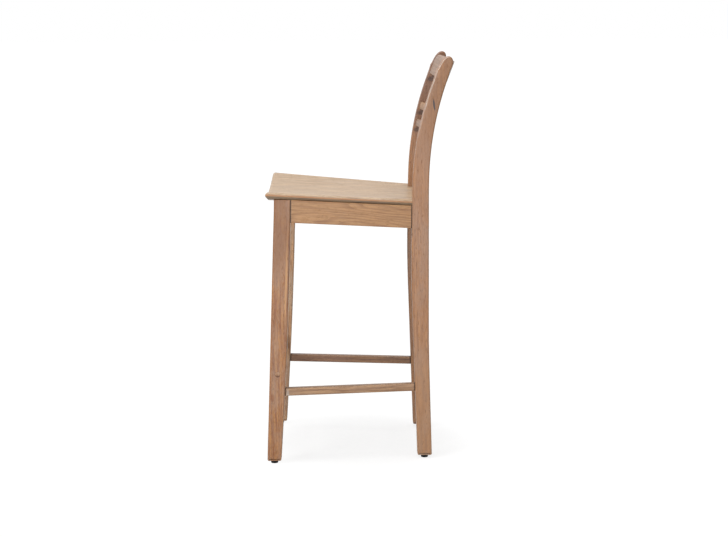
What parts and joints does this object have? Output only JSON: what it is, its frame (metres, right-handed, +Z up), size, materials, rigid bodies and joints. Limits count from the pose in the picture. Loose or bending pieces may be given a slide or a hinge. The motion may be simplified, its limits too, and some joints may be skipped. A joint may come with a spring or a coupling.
{
  "type": "bar stool with footrest",
  "caption": "Counter-height oak bar stool with a dished seat, a bowed ladder back, tapered legs, side stretchers and a front footrest.",
  "frame": {"origin": "on the floor, at the middle of the stool's overall box", "axes": "+Z up, the sitter faces -Y, +X is the sitter's left"},
  "size_m": [0.4564, 0.4774, 1.01],
  "materials": {
    "leg_wood": "brown oak stain under a satin lacquer, fine upright grain with pale worn arrises",
    "post_wood": "brown oak stain under a satin lacquer, fine upright grain with pale worn arrises",
    "seat_wood": "pale limed oak veneer under a satin lacquer, grain from front to back",
    "apron_wood": "warm oak stain with a cathedral grain along the piece, satin",
    "rail_wood": "greyish oak stain, grain along the piece, satin",
    "block_wood": "bare softwood, sawn",
    "dowel_wood": "bare beech, turned",
    "plug_wood": "stained oak plug, slightly domed",
    "black_plastic": "moulded black plastic, matte",
    "zinc_steel": "zinc-plated steel, dull"
  },
  "bodies": {
    "root": {"front_leg_left": "leg_wood", "front_leg_right": "leg_wood", "back_post_left": "post_wood", "back_post_right": "post_wood", "seat_panel": "seat_wood", "side_apron_left": "apron_wood", "side_apron_right": "apron_wood", "front_apron": "apron_wood", "back_apron": "apron_wood", "side_stretcher_left": "rail_wood", "side_stretcher_right": "rail_wood", "front_footrest": "rail_wood", "back_stretcher": "rail_wood", "crest_rail": "rail_wood", "upper_back_slat": "rail_wood", "lower_back_slat": "rail_wood", "front_corner_block_left": "block_wood", "front_corner_block_right": "block_wood", "front_block_screw_left": "zinc_steel", "front_block_screw_right": "zinc_steel", "front_seat_screw_left": "zinc_steel", "front_seat_screw_right": "zinc_steel", "front_glide_left": "black_plastic", "front_glide_right": "black_plastic", "front_glide_nail_left": "zinc_steel", "front_glide_nail_right": "zinc_steel", "back_corner_block_left": "block_wood", "back_corner_block_right": "block_wood", "back_block_screw_left": "zinc_steel", "back_block_screw_right": "zinc_steel", "back_seat_screw_left": "zinc_steel", "back_seat_screw_right": "zinc_steel", "back_glide_left": "black_plastic", "back_glide_right": "black_plastic", "back_glide_nail_left": "zinc_steel", "back_glide_nail_right": "zinc_steel", "footrest_plug_left": "plug_wood", "footrest_plug_right": "plug_wood", "footrest_screw_left": "zinc_steel", "footrest_screw_right": "zinc_steel", "front_apron_dowel_left_low": "dowel_wood", "front_apron_dowel_right_low": "dowel_wood", "front_apron_dowel_left_high": "dowel_wood", "front_apron_dowel_right_high": "dowel_wood", "back_apron_dowel_left_low": "dowel_wood", "back_apron_dowel_right_low": "dowel_wood", "back_apron_dowel_left_high": "dowel_wood", "back_apron_dowel_right_high": "dowel_wood", "side_apron_front_dowel_left_low": "dowel_wood", "side_apron_front_dowel_right_low": "dowel_wood", "side_apron_front_dowel_left_high": "dowel_wood", "side_apron_front_dowel_right_high": "dowel_wood", "side_apron_rear_dowel_left_low": "dowel_wood", "side_apron_rear_dowel_right_low": "dowel_wood", "side_apron_rear_dowel_left_high": "dowel_wood", "side_apron_rear_dowel_right_high": "dowel_wood"}
  },
  "joints": []
}
